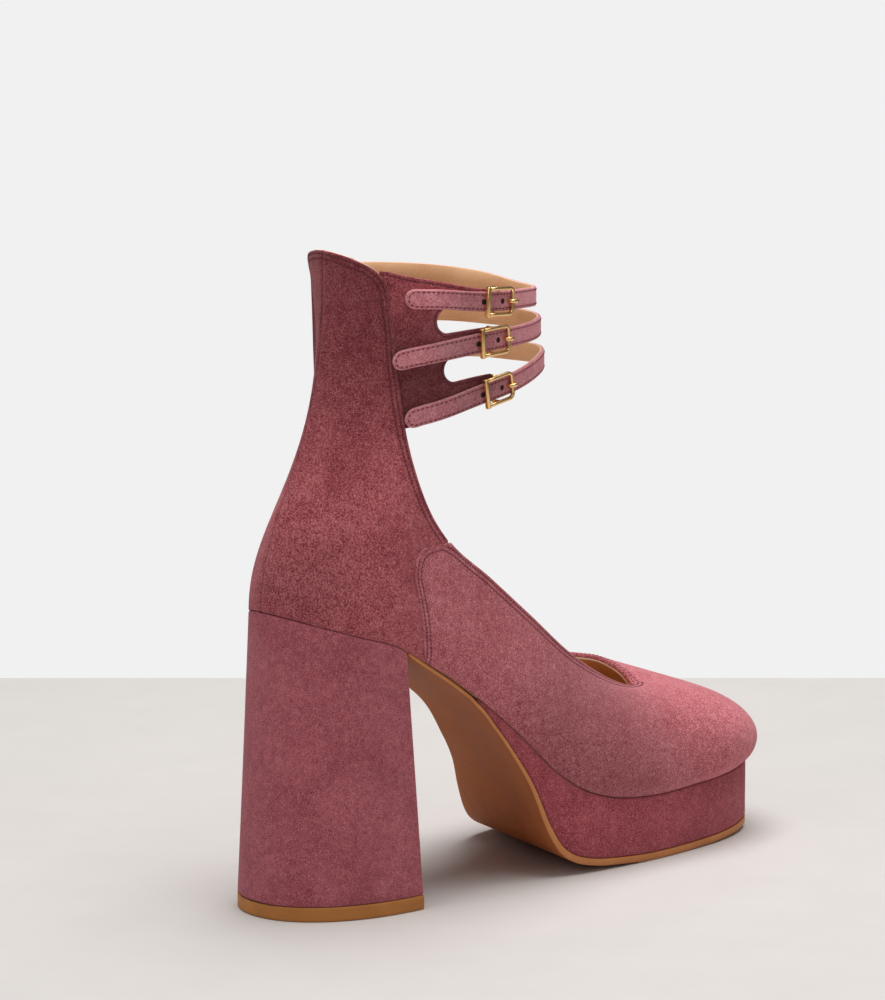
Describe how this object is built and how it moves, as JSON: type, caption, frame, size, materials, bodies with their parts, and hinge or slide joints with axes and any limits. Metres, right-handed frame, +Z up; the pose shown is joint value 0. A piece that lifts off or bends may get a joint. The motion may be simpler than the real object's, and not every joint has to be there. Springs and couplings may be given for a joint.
{
  "type": "platform pump",
  "caption": "Right platform pump with a tall block heel, a high closed back and buckled ankle straps; hollow upper over an insole, platform and leather sole.",
  "frame": {"origin": "on the floor, at the middle of the heel's bottom face", "axes": "+X along the shoe to the toe, +Y to the medial side, +Z up; lengths in metres"},
  "size_m": [0.255, 0.0865, 0.253],
  "materials": {
    "suede": "dusty rose suede with a fine nap",
    "block_suede": "dusty rose suede, finer nap",
    "lining": "smooth nude leather",
    "sole_leather": "smooth tan leather, satin",
    "top_piece": "tan heel rubber, matt",
    "gold_metal": "polished pale gold plating"
  },
  "bodies": {
    "root": {"upper": "suede", "insole": "lining", "platform": "block_suede", "outsole": "sole_leather", "heel": "block_suede", "top_piece": "top_piece", "cuff_lateral": "suede", "cuff_medial": "suede", "strap_top": "suede", "buckle_top": "gold_metal", "prong_top": "gold_metal", "strap_middle": "suede", "buckle_middle": "gold_metal", "prong_middle": "gold_metal", "strap_bottom": "suede", "buckle_bottom": "gold_metal", "prong_bottom": "gold_metal"}
  },
  "joints": []
}
